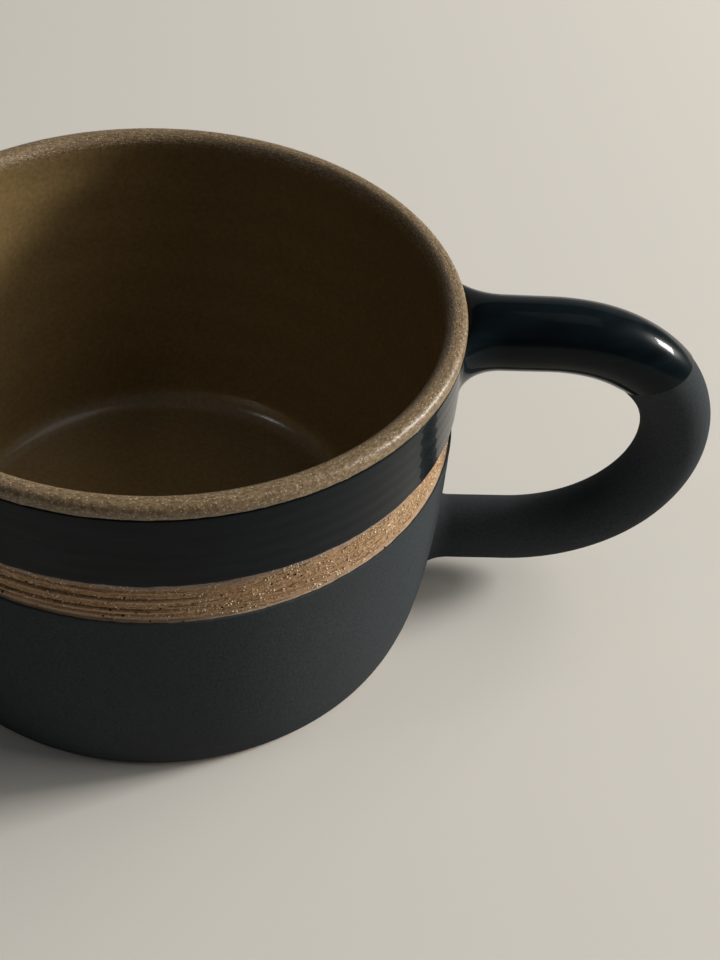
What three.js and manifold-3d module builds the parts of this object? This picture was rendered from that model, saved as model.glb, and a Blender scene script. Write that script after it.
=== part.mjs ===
// Handmade stoneware mug: a low thrown cup, a round loop handle and the fired coats on both.
// Millimetres, +Z up. The origin is the centre of the foot, and the handle points along +X.

import * as THREE from 'three';
import { mergeVertices } from 'three/addons/utils/BufferGeometryUtils.js';
import Module from 'manifold-3d';

const { clamp, degToRad, lerp } = THREE.MathUtils;
const wasm = await Module();
wasm.setup();

// Cup: finished sizes, coats included
const CUP_RADIUS = 48; // outside of the straight wall
const CUP_HEIGHT = 61; // foot to the top of the lip
const HEEL_INSET = 3.8; // how far the wall draws in down to the foot
const HEEL_RISE = 32; // height at which it starts to draw in
const LIP_WIDTH = 3.6; // thickness of the lip
const LIP_CROWN = 1.8; // height of the lip's rounding
const WALL_WIDTH = 4.6; // thickness of the wall above the inside corner
const FLOOR_THICKNESS = 5.5; // foot to the inside floor
const CORNER_RADIUS = 6.5; // inside, between the wall and the floor

// Fired coats and the bare band between them
const COAT = 0.4; // thickness of each glaze and slip
const COLLAR_DEPTH = 15.2; // top of the lip down to the bare band
const BAND_WIDTH = 7.7; // height of the bare band
const BAND_RECESS = 0.5; // crests of the band below the coats
const RIDGE_COUNT = 3; // tooled ridges round the band
const GROOVE_DEPTH = 0.45; // between two ridges
const FOOT_BEVEL = 1; // height of the bare bevel between the table and the slip
const COAT_EDGE = 0.2; // softened edge of a coat at the band

// Handle: finished sizes, coats included
const UPPER_RADIUS = 6.15; // of its round section at the upper end
const LOWER_RADIUS = 5.75; // at the lower end, to which it tapers
const HANDLE_REACH = 38.85; // wall to the outermost point of the centreline
const RUN_LENGTH = 14; // wall to the start of each bend
const UPPER_SHOULDER = 0.55; // collar left between the handle and the lip
const REACH_HEIGHT = 33.4; // height of its outermost point
const LOWER_CLEARANCE = 4.6; // table to the underside of its lower end
const UPPER_FULLNESS = 0.58; // how square the upper bend is
const LOWER_FULLNESS = 0.56; // how square the lower bend is
const UPPER_FLARE_LENGTH = 6.5; // stretch over which the upper end widens to the wall
const UPPER_FLARE_SIDE = 8.5; // how much it widens to each side
const UPPER_SAG = 2; // how far it sinks there, to tuck in under the lip
const LOWER_FLARE_LENGTH = 4; // stretch over which the lower end widens to the wall
const LOWER_FLARE_SIDE = 2.5; // how much it widens to each side
const LOWER_FLARE_TOP = 2; // upwards, into the finger gap
const LOWER_FLARE_UNDER = 1.5; // downwards
const JOINT_SLIP = 0.3; // joining slip between a handle end and the clay wall
const DIP_REACH = 34; // wall to the middle of the dip line between the handle's two coats
const DIP_HEIGHT = 48.3; // height of that middle
const DIP_TILT = 24; // degrees by which the dip line climbs outwards

// Clearances
const BOND_GAP = 0.05; // between a coat and what it covers
const SEAM = 0.3; // between two coats where one is cut for the other

// Facets
const CUP_SEGMENTS = 56;
const HEEL_STEPS = 6;
const LIP_STEPS = 6;
const CORNER_STEPS = 4;
const RIDGE_STEPS = 4;
const HANDLE_SIDES = 16;
const FLARE_STEPS = 4;
const RUN_STEPS = 2;
const BEND_STEPS = 9;
const FACE_STEPS = 4;

// Heights and depths that several pieces share. A depth is measured out from the finished surface
const bandTop = CUP_HEIGHT - COLLAR_DEPTH;
const bandBottom = bandTop - BAND_WIDTH;
const lipSpring = CUP_HEIGHT - LIP_CROWN;
const clayDepth = -COAT;
const coatUnderside = clayDepth + BOND_GAP;
const handleEnd = clayDepth + JOINT_SLIP;

// Finishes
function finish(color, roughness) {
  return new THREE.MeshStandardMaterial({ color, roughness, metalness: 0 });
}

const bareStoneware = finish('#8a6a4c', 0.9);
const joiningSlip = finish('#7d6048', 0.95);
const oliveBrownGlaze = finish('#5c4d33', 0.4);
const blueBlackGlaze = finish('#10151a', 0.12);
const charcoalSlip = finish('#2b2e2f', 0.8);

// A named piece of the mug
function piece(name, geometry, material) {
  const mesh = new THREE.Mesh(geometry, material);
  mesh.name = name;
  return mesh;
}

// Even shares from 0 to 1
function shares(count) {
  return Array.from({ length: count + 1 }, (_, i) => i / count);
}

// A solid of revolution about Z from [radius, height] corners, walked up its outside
function turned(profile) {
  const corners = profile.map(([radius, height]) => new THREE.Vector2(radius, height));
  return new THREE.LatheGeometry(corners, CUP_SEGMENTS).rotateX(Math.PI / 2);
}

// A skin over rings of points. A ring of one point closes an end, and without such ends the last
// ring joins the first. Each four-sided face is split along its shorter diagonal, so that two faces
// of the same shape match whichever way they are walked
function loft(rings) {
  const points = rings.flat();
  const starts = rings.map((_, i) => rings.slice(0, i).flat().length);
  const index = [];
  const bands = rings[0].length === 1 ? rings.length - 1 : rings.length;
  for (let i = 0; i < bands; i += 1) {
    const next = (i + 1) % rings.length;
    const corner = (ring, k) => starts[ring] + (k % rings[ring].length);
    for (let k = 0; k < HANDLE_SIDES; k += 1) {
      const [a, b] = [corner(i, k), corner(i, k + 1)];
      const [c, d] = [corner(next, k), corner(next, k + 1)];
      const slant = points[b].distanceTo(points[c]);
      const otherSlant = points[a].distanceTo(points[d]);
      if (a === b) index.push(a, d, c);
      else if (c === d) index.push(a, b, c);
      else if (slant < otherSlant) index.push(a, b, c, b, d, c);
      else index.push(a, b, d, a, d, c);
    }
  }
  return new THREE.BufferGeometry().setFromPoints(points).setIndex(index);
}

// Cuts one closed shape away from another
function toSolid(geometry) {
  const bare = geometry.clone();
  bare.deleteAttribute('normal');
  bare.deleteAttribute('uv');
  const merged = mergeVertices(bare);
  const mesh = new wasm.Mesh({
    numProp: 3,
    vertProperties: new Float32Array(merged.attributes.position.array),
    triVerts: new Uint32Array(merged.index.array),
  });
  return new wasm.Manifold(mesh);
}

function cut(geometry, cutter) {
  const mesh = toSolid(geometry).subtract(toSolid(cutter)).getMesh();
  const left = new THREE.BufferGeometry();
  left.setAttribute('position', new THREE.Float32BufferAttribute(mesh.vertProperties, 3));
  left.setIndex(new THREE.Uint32BufferAttribute(mesh.triVerts, 1));
  return left;
}

// Outside of the wall at a height: straight, then a quarter ellipse down to the foot
function wallRadius(height) {
  const drop = Math.max(0, HEEL_RISE - height) / HEEL_RISE;
  return CUP_RADIUS - HEEL_INSET * (1 - Math.sqrt(Math.max(0, 1 - drop * drop)));
}

// The wall from the foot bevel up to the band. The steps close up at the foot, where the curve is
// tightest
function heelProfile(depth) {
  const knee = Math.min(HEEL_RISE, bandBottom);
  const curve = shares(HEEL_STEPS).map((t) => FOOT_BEVEL + (knee - FOOT_BEVEL) * t * t);
  const heights = knee < bandBottom ? [...curve, bandBottom] : curve;
  return heights.map((height) => [wallRadius(height) + depth, height]);
}

// Tooled ridges of the bare band, upwards
function bandProfile() {
  return shares(RIDGE_COUNT * RIDGE_STEPS).map((t) => {
    const hollow = (1 + Math.cos(2 * Math.PI * RIDGE_COUNT * t)) / 2;
    return [CUP_RADIUS - BAND_RECESS - GROOVE_DEPTH * hollow, bandBottom + BAND_WIDTH * t];
  });
}

// Lip, inner wall and floor, from the outside of the lip to the axis
function insideProfile(depth) {
  const lipMiddle = CUP_RADIUS - LIP_WIDTH / 2;
  const lip = shares(LIP_STEPS).map((t) => [
    lipMiddle + (LIP_WIDTH / 2 + depth) * Math.cos(Math.PI * t),
    lipSpring + (LIP_CROWN + depth) * Math.sin(Math.PI * t),
  ]);
  const bend = CORNER_RADIUS - depth;
  const corner = shares(CORNER_STEPS).map((t) => [
    CUP_RADIUS - WALL_WIDTH - CORNER_RADIUS + bend * Math.cos((Math.PI / 2) * t),
    FLOOR_THICKNESS + CORNER_RADIUS - bend * Math.sin((Math.PI / 2) * t),
  ]);
  return [...lip, ...corner, [0, FLOOR_THICKNESS + depth]];
}

function cupBody() {
  const profile = [
    [0, 0],
    [wallRadius(0) + clayDepth, 0],
    ...heelProfile(clayDepth),
    ...bandProfile(),
    [CUP_RADIUS + clayDepth, bandTop],
    ...insideProfile(clayDepth),
  ];
  return piece('cup_body', turned(profile), bareStoneware);
}

function linerGlaze() {
  const profile = [...insideProfile(coatUnderside).reverse(), ...insideProfile(0)];
  return piece('liner_glaze', turned(profile), oliveBrownGlaze);
}

// A handle end: the height of its run, its radius, and over which length it sinks and how far it
// widens to the wall: sideways, away from the finger gap and into it
function joint(height, radius, flare) {
  return { height, radius, flare, wall: wallRadius(height) };
}

const upperJoint = joint(lipSpring - UPPER_SHOULDER - UPPER_RADIUS + UPPER_SAG, UPPER_RADIUS, {
  length: UPPER_FLARE_LENGTH,
  sag: UPPER_SAG,
  side: UPPER_FLARE_SIDE,
  away: 0,
  gap: 0,
});
const lowerJoint = joint(LOWER_CLEARANCE + LOWER_RADIUS, LOWER_RADIUS, {
  length: LOWER_FLARE_LENGTH,
  sag: 0,
  side: LOWER_FLARE_SIDE,
  away: LOWER_FLARE_UNDER,
  gap: LOWER_FLARE_TOP,
});

// Centreline of the loop, in the XZ plane and walked out from the wall: from each joint a level run,
// then a quarter bend to the outermost point
function halfLoop(end, fullness, outward) {
  const start = end.wall + RUN_LENGTH;
  const reach = CUP_RADIUS + HANDLE_REACH;
  const corners = [
    [start, end.height],
    [start + fullness * (reach - start), end.height],
    [reach, REACH_HEIGHT + fullness * (end.height - REACH_HEIGHT)],
    [reach, REACH_HEIGHT],
  ];
  const bend = new THREE.CubicBezierCurve3(...corners.map(([x, z]) => new THREE.Vector3(x, 0, z)));
  const runShare = RUN_LENGTH / (RUN_LENGTH + bend.getLength());
  return { end, bend, outward, runShare };
}

const upperHalf = halfLoop(upperJoint, UPPER_FULLNESS, 1);
const lowerHalf = halfLoop(lowerJoint, LOWER_FULLNESS, -1);

// The radius tapers evenly from the upper end to the lower one, so at a share of the way along a
// half it lies between that end's and the mean of both
function taper(half, share) {
  return lerp(half.end.radius, (UPPER_RADIUS + LOWER_RADIUS) / 2, share);
}

// A quarter ellipse: from 0 where a flare starts to 1 at the wall
function flaring(distance, length) {
  const nearness = clamp(1 - distance / length, 0, 1);
  return 1 - Math.sqrt(1 - nearness ** 2);
}

// A place on a half: its point, the direction away from the finger gap, its radius, and its distance
// from the wall, which is negative inside the wall's coat
function runPlace(half, distance) {
  const { end, outward, runShare } = half;
  const { length, sag } = end.flare;
  const height = end.height - sag * flaring(distance, length);
  return {
    end,
    distance,
    point: new THREE.Vector3(end.wall + distance, 0, height),
    away: new THREE.Vector3(0, 0, outward),
    radius: taper(half, runShare * Math.max(0, distance / RUN_LENGTH)),
  };
}

function bendPlace(half, share) {
  const { end, bend, outward, runShare } = half;
  const tangent = bend.getTangent(share);
  return {
    end,
    distance: RUN_LENGTH,
    point: bend.getPoint(share),
    away: new THREE.Vector3(-tangent.z, 0, tangent.x).multiplyScalar(outward),
    radius: taper(half, lerp(runShare, 1, share)),
  };
}

// Places along a half, from a first distance off the wall to the outermost point
function halfPlaces(half, first) {
  const { length } = half.end.flare;
  const inWall = first < 0 ? [first] : [];
  const flared = shares(FLARE_STEPS).map((t) => length * t * t);
  const level = shares(RUN_STEPS).map((t) => lerp(length, RUN_LENGTH, t));
  const run = [...inWall, ...flared, ...level.slice(1)].map((distance) => runPlace(half, distance));
  const bend = shares(BEND_STEPS).map((share) => bendPlace(half, share));
  return [...run, ...bend.slice(1)];
}

function loopPlaces(first) {
  return [...halfPlaces(upperHalf, first), ...halfPlaces(lowerHalf, first).reverse().slice(1)];
}

// Round section of the handle at a place. Near the wall it widens as a quarter ellipse and takes on
// the wall's own curve
function section(at, depth, size = 1) {
  const { length, side, away, gap } = at.end.flare;
  const widening = flaring(at.distance - depth, length - depth);
  const hug = clamp(1 - at.distance / length, 0, 1);
  return shares(HANDLE_SIDES).slice(1).map((turn) => {
    const cosine = Math.cos(2 * Math.PI * turn);
    const sine = Math.sin(2 * Math.PI * turn);
    const radius = at.radius + depth;
    const across = size * cosine * (radius + widening * side);
    const along = size * sine * (radius + widening * (sine > 0 ? away : gap));
    const spot = at.point.clone().addScaledVector(at.away, along).setY(across);
    spot.x -= hug * (at.end.wall - Math.sqrt(wallRadius(spot.z) ** 2 - across ** 2));
    return spot;
  });
}

// End face that follows the wall, from its middle to its edge
function endFace(half, shift = 0) {
  const at = runPlace(half, handleEnd);
  const rings = shares(FACE_STEPS).slice(1).map((t) => section(at, clayDepth, t));
  return [[at.point], ...rings].map((ring) => ring.map((p) => p.clone().setX(p.x + shift)));
}

function handleLoop() {
  const skin = loopPlaces(handleEnd).slice(1, -1).map((at) => section(at, clayDepth));
  const rings = [...endFace(upperHalf), ...skin, ...endFace(lowerHalf).reverse()];
  return piece('handle_loop', loft(rings), bareStoneware);
}

// Slip pressed between a handle end and the clay wall
function jointSlip(name, half) {
  const wallSide = endFace(half, BOND_GAP - JOINT_SLIP);
  const handleSide = endFace(half, -BOND_GAP);
  const [first, last] = half.outward > 0 ? [wallSide, handleSide] : [handleSide, wallSide];
  return piece(name, loft([...first, ...last.reverse()]), joiningSlip);
}

// Hole in a wall coat round a handle end, one seam wider than the end
function jointHole(half) {
  const outline = section(runPlace(half, 0), SEAM).map((p) => new THREE.Vector2(p.y, p.z));
  const depth = 2 * (half.end.flare.side + half.end.radius);
  const hole = new THREE.ExtrudeGeometry(new THREE.Shape(outline), { depth, bevelEnabled: false });
  const toWall = new THREE.Matrix4().makeBasis(
    new THREE.Vector3(0, 1, 0),
    new THREE.Vector3(0, 0, 1),
    new THREE.Vector3(1, 0, 0),
  );
  return hole.applyMatrix4(toWall).translate(half.end.wall - depth / 2, 0, 0);
}

function collarGlaze() {
  const top = lipSpring - BOND_GAP;
  const profile = [
    [CUP_RADIUS + coatUnderside, bandTop],
    [CUP_RADIUS - COAT_EDGE, bandTop],
    [CUP_RADIUS, bandTop + COAT_EDGE],
    [CUP_RADIUS, top],
    [CUP_RADIUS + coatUnderside, top],
    [CUP_RADIUS + coatUnderside, bandTop],
  ];
  return piece('collar_glaze', cut(turned(profile), jointHole(upperHalf)), blueBlackGlaze);
}

function bodySlip() {
  const outside = heelProfile(0);
  const underside = heelProfile(coatUnderside).reverse();
  const profile = [
    ...outside.slice(0, -1),
    [wallRadius(bandBottom), bandBottom - COAT_EDGE],
    [wallRadius(bandBottom) - COAT_EDGE, bandBottom],
    ...underside,
    outside[0],
  ];
  return piece('body_slip', cut(turned(profile), jointHole(lowerHalf)), charcoalSlip);
}

// The mug was held tilted when its handle was dipped: gloss above a plane that climbs outwards, slip
// below it
function handleCoat() {
  const outside = loopPlaces(0).map((at) => section(at, 0));
  const underside = loopPlaces(coatUnderside).map((at) => section(at, coatUnderside));
  return loft([...outside, ...underside.reverse()]);
}

function dipBlock(side) {
  const span = 4 * (CUP_RADIUS + HANDLE_REACH);
  return new THREE.BoxGeometry(span, span, span)
    .translate(0, 0, (side * (SEAM - span)) / 2)
    .rotateY(-degToRad(DIP_TILT))
    .translate(CUP_RADIUS + DIP_REACH, 0, DIP_HEIGHT);
}

function handleGlaze() {
  return piece('handle_glaze', cut(handleCoat(), dipBlock(1)), blueBlackGlaze);
}

function handleSlip() {
  return piece('handle_slip', cut(handleCoat(), dipBlock(-1)), charcoalSlip);
}

const mug = new THREE.Group();
mug.add(
  cupBody(),
  handleLoop(),
  jointSlip('upper_joint_slip', upperHalf),
  jointSlip('lower_joint_slip', lowerHalf),
  linerGlaze(),
  collarGlaze(),
  bodySlip(),
  handleGlaze(),
  handleSlip(),
);

export default mug;
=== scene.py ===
# %% [markdown]
# # A handmade stoneware mug
# The mug is a low, wide cup that was thrown on a potter's wheel, with a round loop handle pressed on
# while the clay was still soft. It shows four finishes: an olive-brown glaze inside and over the lip, a
# gloss blue-black collar, a bare tooled band, and a matte charcoal slip below it. The handle has the
# same gloss and slip, which meet at a dip line.
#
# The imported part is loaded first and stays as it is. Every piece below is built in its frame, in
# metres, with +Z up and the handle along +X.

# %% Load the frame
import math

import bpy
import numpy as np
from mathutils import Matrix, Vector


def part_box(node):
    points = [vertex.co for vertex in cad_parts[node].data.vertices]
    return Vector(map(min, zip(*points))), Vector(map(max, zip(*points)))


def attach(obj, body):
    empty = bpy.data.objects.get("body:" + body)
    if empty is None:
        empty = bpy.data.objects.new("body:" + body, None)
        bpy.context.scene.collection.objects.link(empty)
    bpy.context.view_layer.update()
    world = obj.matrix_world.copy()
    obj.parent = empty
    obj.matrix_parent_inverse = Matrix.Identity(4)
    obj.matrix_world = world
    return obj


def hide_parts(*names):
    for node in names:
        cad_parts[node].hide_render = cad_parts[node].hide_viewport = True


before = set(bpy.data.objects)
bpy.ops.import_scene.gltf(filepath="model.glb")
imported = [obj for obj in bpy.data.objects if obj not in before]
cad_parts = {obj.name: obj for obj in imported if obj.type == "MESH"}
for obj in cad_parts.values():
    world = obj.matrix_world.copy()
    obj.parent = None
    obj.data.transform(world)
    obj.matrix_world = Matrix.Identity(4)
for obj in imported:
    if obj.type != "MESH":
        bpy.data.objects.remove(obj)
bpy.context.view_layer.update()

print("nodes:", sorted(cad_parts))

# %% [markdown]
# ## Units and colours
# A potter thinks in millimetres and Blender works in metres, so sizes are written in millimetres and
# multiplied by `MM` once. Colours are written as the sRGB hex values that a screen shows. A shader
# needs linear light, so one function converts them.

# %% Millimetres and hex colours
MM = 0.001


def linear(hex_colour):
    """Linear RGBA of an sRGB colour such as #8a6a4c."""
    shares = [int(hex_colour[i:i + 2], 16) / 255 for i in (1, 3, 5)]
    light = [s / 12.92 if s <= 0.04045 else ((s + 0.055) / 1.055) ** 2.4 for s in shares]
    return (*light, 1.0)


print("mid grey #808080 is", round(linear("#808080")[0], 3), "in linear light")

# %% [markdown]
# ## Camera
# The photograph looks down on the mug from close by, with the handle on the right and the camera rolled
# a few degrees. A camera is easiest to set from the angles that a photographer would name: how far it
# turns from +Y, how far it looks down and how far it rolls. The lens is given for a 36 mm sensor on the
# long side of the picture.

# %% Place the camera
CAMERA_PLACE = (12.62, -180.53, 194.47)
CAMERA_TURN = 6.783
CAMERA_DOWN = 43.629
CAMERA_ROLL = 6.019
CAMERA_LENS = 54.075
SENSOR = 36

camera = bpy.data.objects.new("camera", bpy.data.cameras.new("camera"))
camera.data.lens = CAMERA_LENS
camera.data.sensor_width = SENSOR
camera.data.clip_start = 0.01
camera.matrix_world = (
    Matrix.Translation(Vector(CAMERA_PLACE) * MM)
    @ Matrix.Rotation(math.radians(-CAMERA_TURN), 4, "Z")
    @ Matrix.Rotation(math.radians(90 - CAMERA_DOWN), 4, "X")
    @ Matrix.Rotation(math.radians(CAMERA_ROLL), 4, "Z")
)
bpy.context.scene.collection.objects.link(camera)
bpy.context.scene.camera = camera
print("camera stands", round(camera.location.length / MM), "mm from the middle of the foot")

# %% [markdown]
# ## One function for nodes
# Materials and Geometry Nodes are both made of nodes, so one small function adds a node, sets its
# options and fills its sockets. A socket takes a plain value, another node's socket, or a node, which
# means that node's first output in use. Two settings come back often: a Mix node that mixes colours and
# a Map Range node with soft ends. Every material ends in the same two nodes, a Principled surface and
# the output.

# %% Add a node
def add(tree, kind, sockets=(), **settings):
    """Adds a node with its settings, and fills its sockets by name or in order."""
    node = tree.nodes.new(kind)
    for name, value in settings.items():
        setattr(node, name, value)
    named = sockets.items() if isinstance(sockets, dict) else enumerate(sockets)
    for key, value in named:
        socket = node.inputs[key] if isinstance(key, int) else next(
            s for s in node.inputs if s.name == key and s.enabled
        )
        if isinstance(value, bpy.types.Node):
            value = next(s for s in value.outputs if s.enabled)
        if isinstance(value, bpy.types.NodeSocket):
            tree.links.new(value, socket)
        else:
            socket.default_value = value
    return node


def new_material(name):
    """An empty material and its node tree."""
    material = bpy.data.materials.new(name)
    material.use_nodes = True
    material.node_tree.nodes.clear()
    return material, material.node_tree


def close_material(material, sockets):
    """Ends a material in one Principled surface."""
    tree = material.node_tree
    surface = add(tree, "ShaderNodeBsdfPrincipled", sockets)
    add(tree, "ShaderNodeOutputMaterial", {"Surface": surface})
    print(material.name, "has", len(tree.nodes), "nodes")


def per(size):
    """The texture scale whose features are about this many millimetres wide."""
    return 1 / (size * MM)


MIX_COLOUR = {"data_type": "RGBA"}
SOFT_STEP = {"interpolation_type": "SMOOTHSTEP"}
print("a grain of 0.5 mm needs a texture scale of", per(0.5))

# %% [markdown]
# ## Floor and light
# The mug stands on a plain pale floor. A window stands low on the handle's side, a little to the back.
# It gives the handle its highlight and leaves the opposite side dark. The sheer curtain round it is
# dimmer and much larger, so that the shadows get soft edges, and is kept out of the reflections. A wide
# dim ceiling and a wall at the back are there for the glaze to reflect, and a skylight and a small far
# lamp shine on the corner of the inside floor. Each light's power is worked out from the brightness
# that a reflection of it has.

# %% Floor
FLOOR_SIZE = 6.0
FLOOR_COLOUR = "#d2cec6"

floor_mesh = bpy.data.meshes.new("floor")
half = FLOOR_SIZE / 2
floor_corners = [(-half, -half, 0), (half, -half, 0), (half, half, 0), (-half, half, 0)]
floor_mesh.from_pydata(floor_corners, [], [(0, 1, 2, 3)])
floor = bpy.data.objects.new("floor", floor_mesh)
bpy.context.scene.collection.objects.link(floor)
floor_paint, tree = new_material("plain_pale_plaster")
close_material(floor_paint, {"Base Color": linear(FLOOR_COLOUR), "Roughness": 0.9})
floor_mesh.materials.append(floor_paint)
print("floor of", FLOOR_SIZE, "m")

# %% Soft lights
LIGHT_TARGET = Vector((20, 0, 35)) * MM
# name: azimuth from +X, elevation, distance in m, width in m, height in m, brightness, colour
LIGHTS = {
    "window": (12, 22, 2.0, 0.44, 0.34, 92.0, "#fffdfa"),
    "curtain": (14, 30, 2.1, 2.2, 1.7, 3.2, "#fffaf2"),
    "ceiling": (-97, 79, 1.3, 3.7, 3.7, 0.1, "#e8f1fa"),
    "back_wall": (84, 19, 3.6, 5.0, 2.4, 0.40, "#f6f4f0"),
    "skylight": (5, 67, 2.0, 1.0, 0.7, 0.62, "#f6f8fa"),
    "lamp": (-158, 50, 1.1, 0.1, 0.1, 9.0, "#ffffff"),
}
ROOM_LIGHT = 0.01

for name, (azimuth, elevation, distance, width, height, brightness, colour) in LIGHTS.items():
    light = bpy.data.lights.new(name, "AREA")
    light.shape = "RECTANGLE"
    light.size = width
    light.size_y = height
    light.color = linear(colour)[:3]
    light.energy = brightness * math.pi * width * height
    lamp = bpy.data.objects.new(name, light)
    level = math.cos(math.radians(elevation))
    away = Vector((
        level * math.cos(math.radians(azimuth)),
        level * math.sin(math.radians(azimuth)),
        math.sin(math.radians(elevation)),
    ))
    lamp.location = LIGHT_TARGET + distance * away
    lamp.rotation_mode = "QUATERNION"
    lamp.rotation_quaternion = away.to_track_quat("Z", "Y")
    lamp.visible_glossy = name != "curtain"
    bpy.context.scene.collection.objects.link(lamp)
    print(name, "light of", round(light.energy, 1), "W")

world = bpy.data.worlds.new("dim_room")
world.use_nodes = True
world.node_tree.nodes["Background"].inputs["Color"].default_value = (1, 1, 1, 1)
world.node_tree.nodes["Background"].inputs["Strength"].default_value = ROOM_LIGHT
bpy.context.scene.world = world
bpy.context.scene.view_settings.view_transform = "Standard"

# %% [markdown]
# ## Sizes
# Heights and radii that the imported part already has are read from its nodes, so that the pieces here
# follow it, less a hair's room for the marks of the hand. The rest are the mug's own sizes: its coats,
# how the heel draws in, the lip, and how the inner wall draws in to the corner of the floor.

# %% Read the sizes from the frame
COAT = 0.35
BOND_GAP = 0.05
HEEL_INSET = 3.8
HEEL_RISE = 32
LIP_WIDTH = 3.6
LIP_CROWN = 1.8
INNER_DRAW = 5.6
CORNER_RADIUS = 5
SWELL_ROOM = 0.04

collar_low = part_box("collar_glaze")[0] / MM
slip_low, slip_high = (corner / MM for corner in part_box("body_slip"))
liner_low, liner_high = (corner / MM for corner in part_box("liner_glaze"))
cup_radius = -collar_low.x - SWELL_ROOM
band_top = collar_low.z
band_bottom = slip_high.z
foot_bevel = slip_low.z
lip_top = liner_high.z - SWELL_ROOM
lip_spring = lip_top - LIP_CROWN
inside_floor = liner_low.z + COAT
print(f"cup {2 * cup_radius:.1f} mm wide and {lip_top:.1f} mm high")
print(f"band from {band_bottom:.1f} to {band_top:.1f} mm")

# %% [markdown]
# ## Bare stoneware
# The band and the foot are raw stoneware, fired without a glaze. A ribbed tool dragged through the
# leather-hard clay left grooves, torn pits and a smooth compressed strip along each edge. To the eye it
# is a dry, sandy tan with darker scratches that run round the cup. The scratches come from noise that
# is stretched along the wall, the strips from the height, and next to nothing of it shines. Shade and
# light are painted in as well: painted shade in the grooves and pits and a painted highlight on the
# burrs, from a value stored on the mesh, and painted light on the upper strip.

# %% Stoneware material
stoneware, tree = new_material("stoneware_tooled_bare")
place = add(tree, "ShaderNodeTexCoord").outputs["Object"]
height = add(tree, "ShaderNodeSeparateXYZ", [place]).outputs["Z"]
sand = add(
    tree, "ShaderNodeTexNoise",
    {"Vector": place, "Scale": per(0.45), "Detail": 5.0, "Roughness": 0.65},
)
sand_tone = add(tree, "ShaderNodeMapRange", {"Value": sand, "From Min": 0.38, "From Max": 0.62})
clay = add(
    tree, "ShaderNodeMix",
    {"Factor": sand_tone, "A": linear("#80644a"), "B": linear("#bd9d79")}, **MIX_COLOUR,
)
cloud = add(tree, "ShaderNodeTexNoise", {"Vector": place, "Scale": per(11), "Detail": 2.0})
cloud_tone = add(
    tree, "ShaderNodeMapRange",
    {"Value": cloud, "From Min": 0.4, "From Max": 0.65, "To Max": 0.55},
)
toasted = add(
    tree, "ShaderNodeMix", {"Factor": cloud_tone, "A": clay, "B": linear("#9a7656")}, **MIX_COLOUR
)

# Scratches drawn round the wall
SCRATCH_LENGTH = 5
SCRATCH_WIDTH = 0.3
along_wall = add(
    tree, "ShaderNodeMapping",
    {"Vector": place, "Scale": (per(SCRATCH_LENGTH), per(SCRATCH_LENGTH), per(SCRATCH_WIDTH))},
    vector_type="POINT",
)
scratch = add(
    tree, "ShaderNodeTexNoise",
    {"Vector": along_wall, "Scale": 1.0, "Detail": 3.0, "Roughness": 0.6},
)
scratch_depth = add(
    tree, "ShaderNodeMapRange", {"Value": scratch, "From Min": 0.54, "From Max": 0.72, "To Max": 0.7},
    **SOFT_STEP,
)
scratched = add(
    tree, "ShaderNodeMix", {"Factor": scratch_depth, "A": toasted, "B": linear("#523823")}, **MIX_COLOUR
)

# The compressed strips along both edges of the band, with a wandering border; the upper one also carries
# painted light
border = add(tree, "ShaderNodeTexNoise", {"Vector": along_wall, "Scale": 0.5, "Detail": 2.0})
border_shift = add(
    tree, "ShaderNodeMapRange", {"Value": border, "To Min": -0.7 * MM, "To Max": 0.7 * MM}
)
border_height = add(tree, "ShaderNodeMath", [height, border_shift], operation="ADD")
upper_strip = add(
    tree, "ShaderNodeMapRange",
    {
        "Value": border_height, "To Max": 0.8,
        "From Min": (band_top - 1.5) * MM, "From Max": (band_top - 1.0) * MM,
    },
    **SOFT_STEP,
)
# The upper strip is a mauve tint, made paler with painted light where its ledge catches the light
mauve_and_ledge_light = add(
    tree, "ShaderNodeMix", {"Factor": upper_strip, "A": scratched, "B": linear("#9b8980")}, **MIX_COLOUR
)
lower_strip = add(
    tree, "ShaderNodeMapRange",
    {
        "Value": border_height, "To Max": 0.7,
        "From Min": (band_bottom + 1.1) * MM, "From Max": (band_bottom + 0.7) * MM,
    },
    **SOFT_STEP,
)
lower_pale = add(
    tree, "ShaderNodeMix", {"Factor": lower_strip, "A": mauve_and_ledge_light, "B": linear("#ac937c")}, **MIX_COLOUR
)

# Painted shade darkens the grooves and a painted highlight lightens their burrs: the wheel's tree stores
# each mark's height
mark = add(tree, "ShaderNodeAttribute", attribute_name="mark").outputs["Fac"]
groove = add(
    tree, "ShaderNodeMapRange",
    {"Value": mark, "From Min": -0.04 * MM, "From Max": -0.3 * MM, "To Max": 0.6},
)
# Painted shade in the grooves, darkest where the tool pressed deepest
painted_groove_shade = add(
    tree, "ShaderNodeMix", {"Factor": groove, "A": lower_pale, "B": linear("#2e1c0e")}, **MIX_COLOUR
)
# Painted highlight on the burr below each groove
burr = add(
    tree, "ShaderNodeMapRange",
    {"Value": mark, "From Min": 0.02 * MM, "From Max": 0.16 * MM, "To Max": 0.6},
)
painted_burr_highlight = add(tree, "ShaderNodeMix", {"Factor": burr, "A": painted_groove_shade, "B": linear("#c9ad8b")}, **MIX_COLOUR)
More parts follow.
